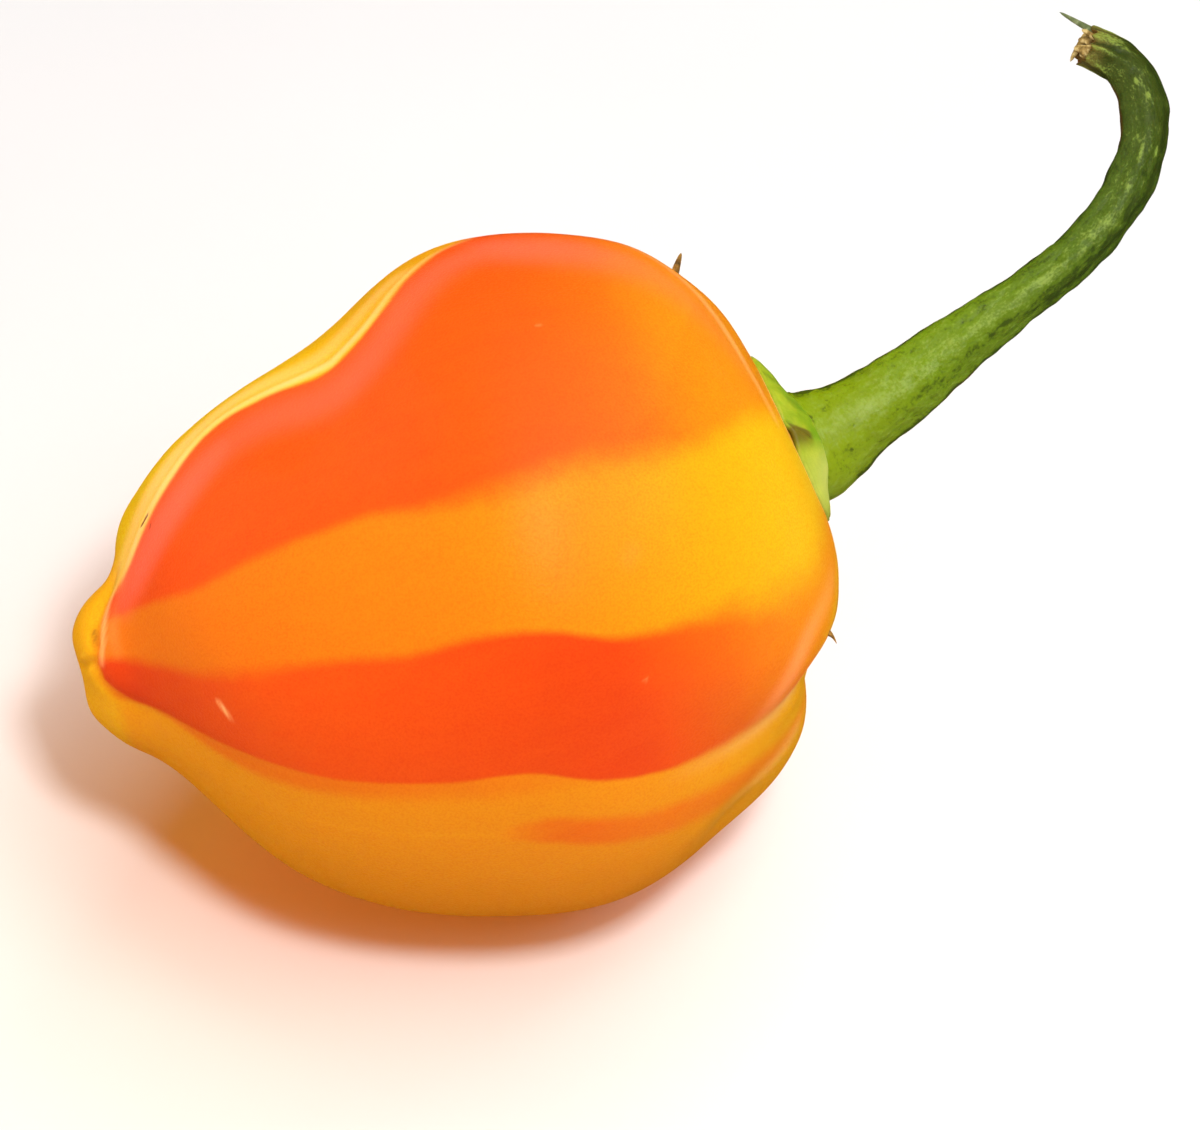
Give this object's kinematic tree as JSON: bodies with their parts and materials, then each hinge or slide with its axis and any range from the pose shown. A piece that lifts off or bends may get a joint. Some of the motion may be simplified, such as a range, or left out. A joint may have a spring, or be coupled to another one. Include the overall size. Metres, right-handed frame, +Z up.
{
  "type": "chilli pepper",
  "caption": "Squat, lobed, variegated red-orange and yellow chilli pepper lying on its side, with a short curved green stem.",
  "frame": {"origin": "middle of the bounding box, on the surface that the pepper lies on", "axes": "+X along the fruit from the blossom tip to the stem, +Z up, -Y the side of the broad front lobe"},
  "size_m": [0.0782, 0.0448, 0.0442],
  "materials": {
    "skin": "waxy semi-gloss fruit skin, red-orange and yellow bands along the fruit",
    "calyx": "satin yellow-green leaf tissue",
    "stem": "satin ridged green stalk, brown at the torn end"
  },
  "bodies": {
    "root": {"fruit": "skin", "calyx": "calyx", "stem": "stem"}
  },
  "joints": []
}
